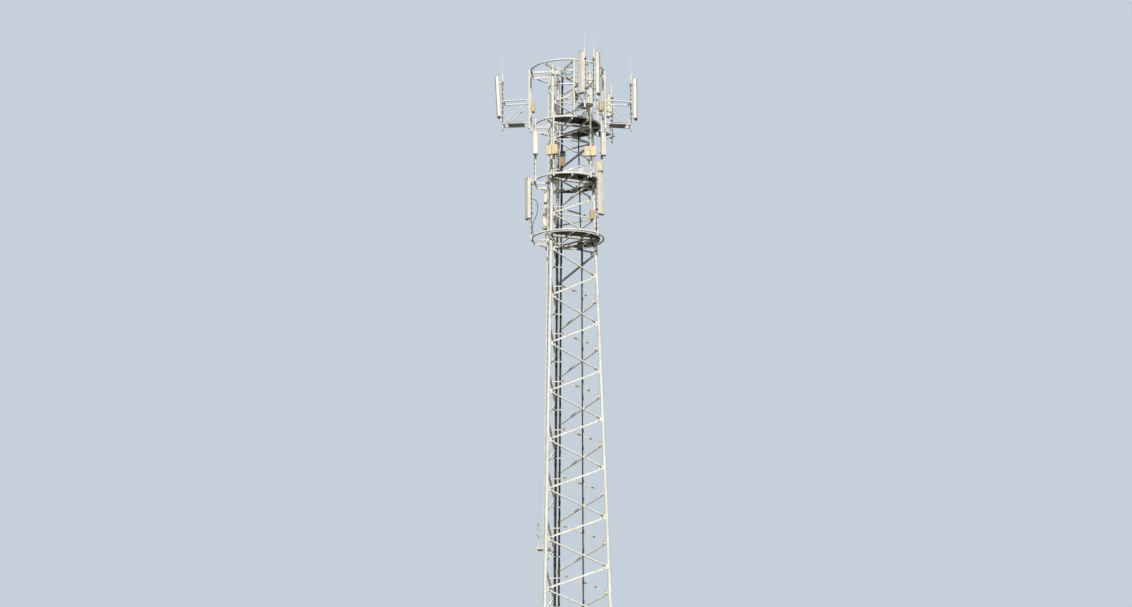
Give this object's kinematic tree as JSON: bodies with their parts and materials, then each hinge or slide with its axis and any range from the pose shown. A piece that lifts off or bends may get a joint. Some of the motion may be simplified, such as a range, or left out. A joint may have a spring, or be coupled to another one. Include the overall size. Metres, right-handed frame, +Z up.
{
  "type": "lattice cell tower",
  "caption": "Self-supporting three-legged lattice tower with a climbing ladder, ring platforms and panel antennas at its head.",
  "frame": {"origin": "centre of the underside of the left foot's base plate", "axes": "+Z up along the tower, +X to the right as pictured, +Y away from the viewer"},
  "size_m": [6.0535, 5.0675, 35.9],
  "materials": {
    "galvanised": "hot-dip galvanised, dull, weathered",
    "grating": "galvanised grating, shaded and dusty",
    "radome": "moulded glass-fibre radome, ivory, satin",
    "unit_paint": "powder-coated housing, beige, matt",
    "cable_jacket": "black extruded jacket"
  },
  "bodies": {
    "root": {"foot_left": "galvanised", "foot_right": "galvanised", "foot_rear": "galvanised", "leg_left": "galvanised", "leg_right": "galvanised", "leg_rear": "galvanised", "bracing_front": "galvanised", "bracing_right": "galvanised", "bracing_left": "galvanised", "climbing_ladder": "galvanised", "ladder_brackets": "galvanised", "rest_platform_floor": "galvanised", "rest_platform_rail": "galvanised", "cable_ladder": "galvanised", "feeder_cables": "cable_jacket", "cable_rail": "galvanised", "rail_cables": "cable_jacket", "top_ring": "galvanised", "upper_ring": "galvanised", "middle_ring": "galvanised", "lower_ring": "galvanised", "top_ring_frame": "galvanised", "upper_frame": "galvanised", "middle_frame": "galvanised", "lower_frame": "galvanised", "upper_deck": "grating", "middle_deck": "grating", "lower_deck": "grating", "outrigger_left": "galvanised", "outrigger_right": "galvanised", "outrigger_front": "galvanised", "outrigger_rear": "galvanised", "outer_poles": "galvanised", "middle_poles": "galvanised", "lower_poles": "galvanised", "antenna_left": "radome", "antenna_front_left": "radome", "antenna_front_right": "radome", "antenna_right": "radome", "antenna_rear": "radome", "short_antenna_left": "radome", "short_antenna_right": "radome", "lower_antenna_left": "radome", "lower_antenna_right": "radome", "lower_antenna_rear": "radome", "radio_units_middle": "unit_paint", "radio_units_lower": "unit_paint", "radio_unit_upper": "unit_paint", "equipment_box": "unit_paint", "jumper_glands": "galvanised", "jumper_low": "cable_jacket", "jumper_top_long": "cable_jacket", "jumper_top_middle": "cable_jacket", "jumper_top_short": "cable_jacket"}
  },
  "joints": []
}
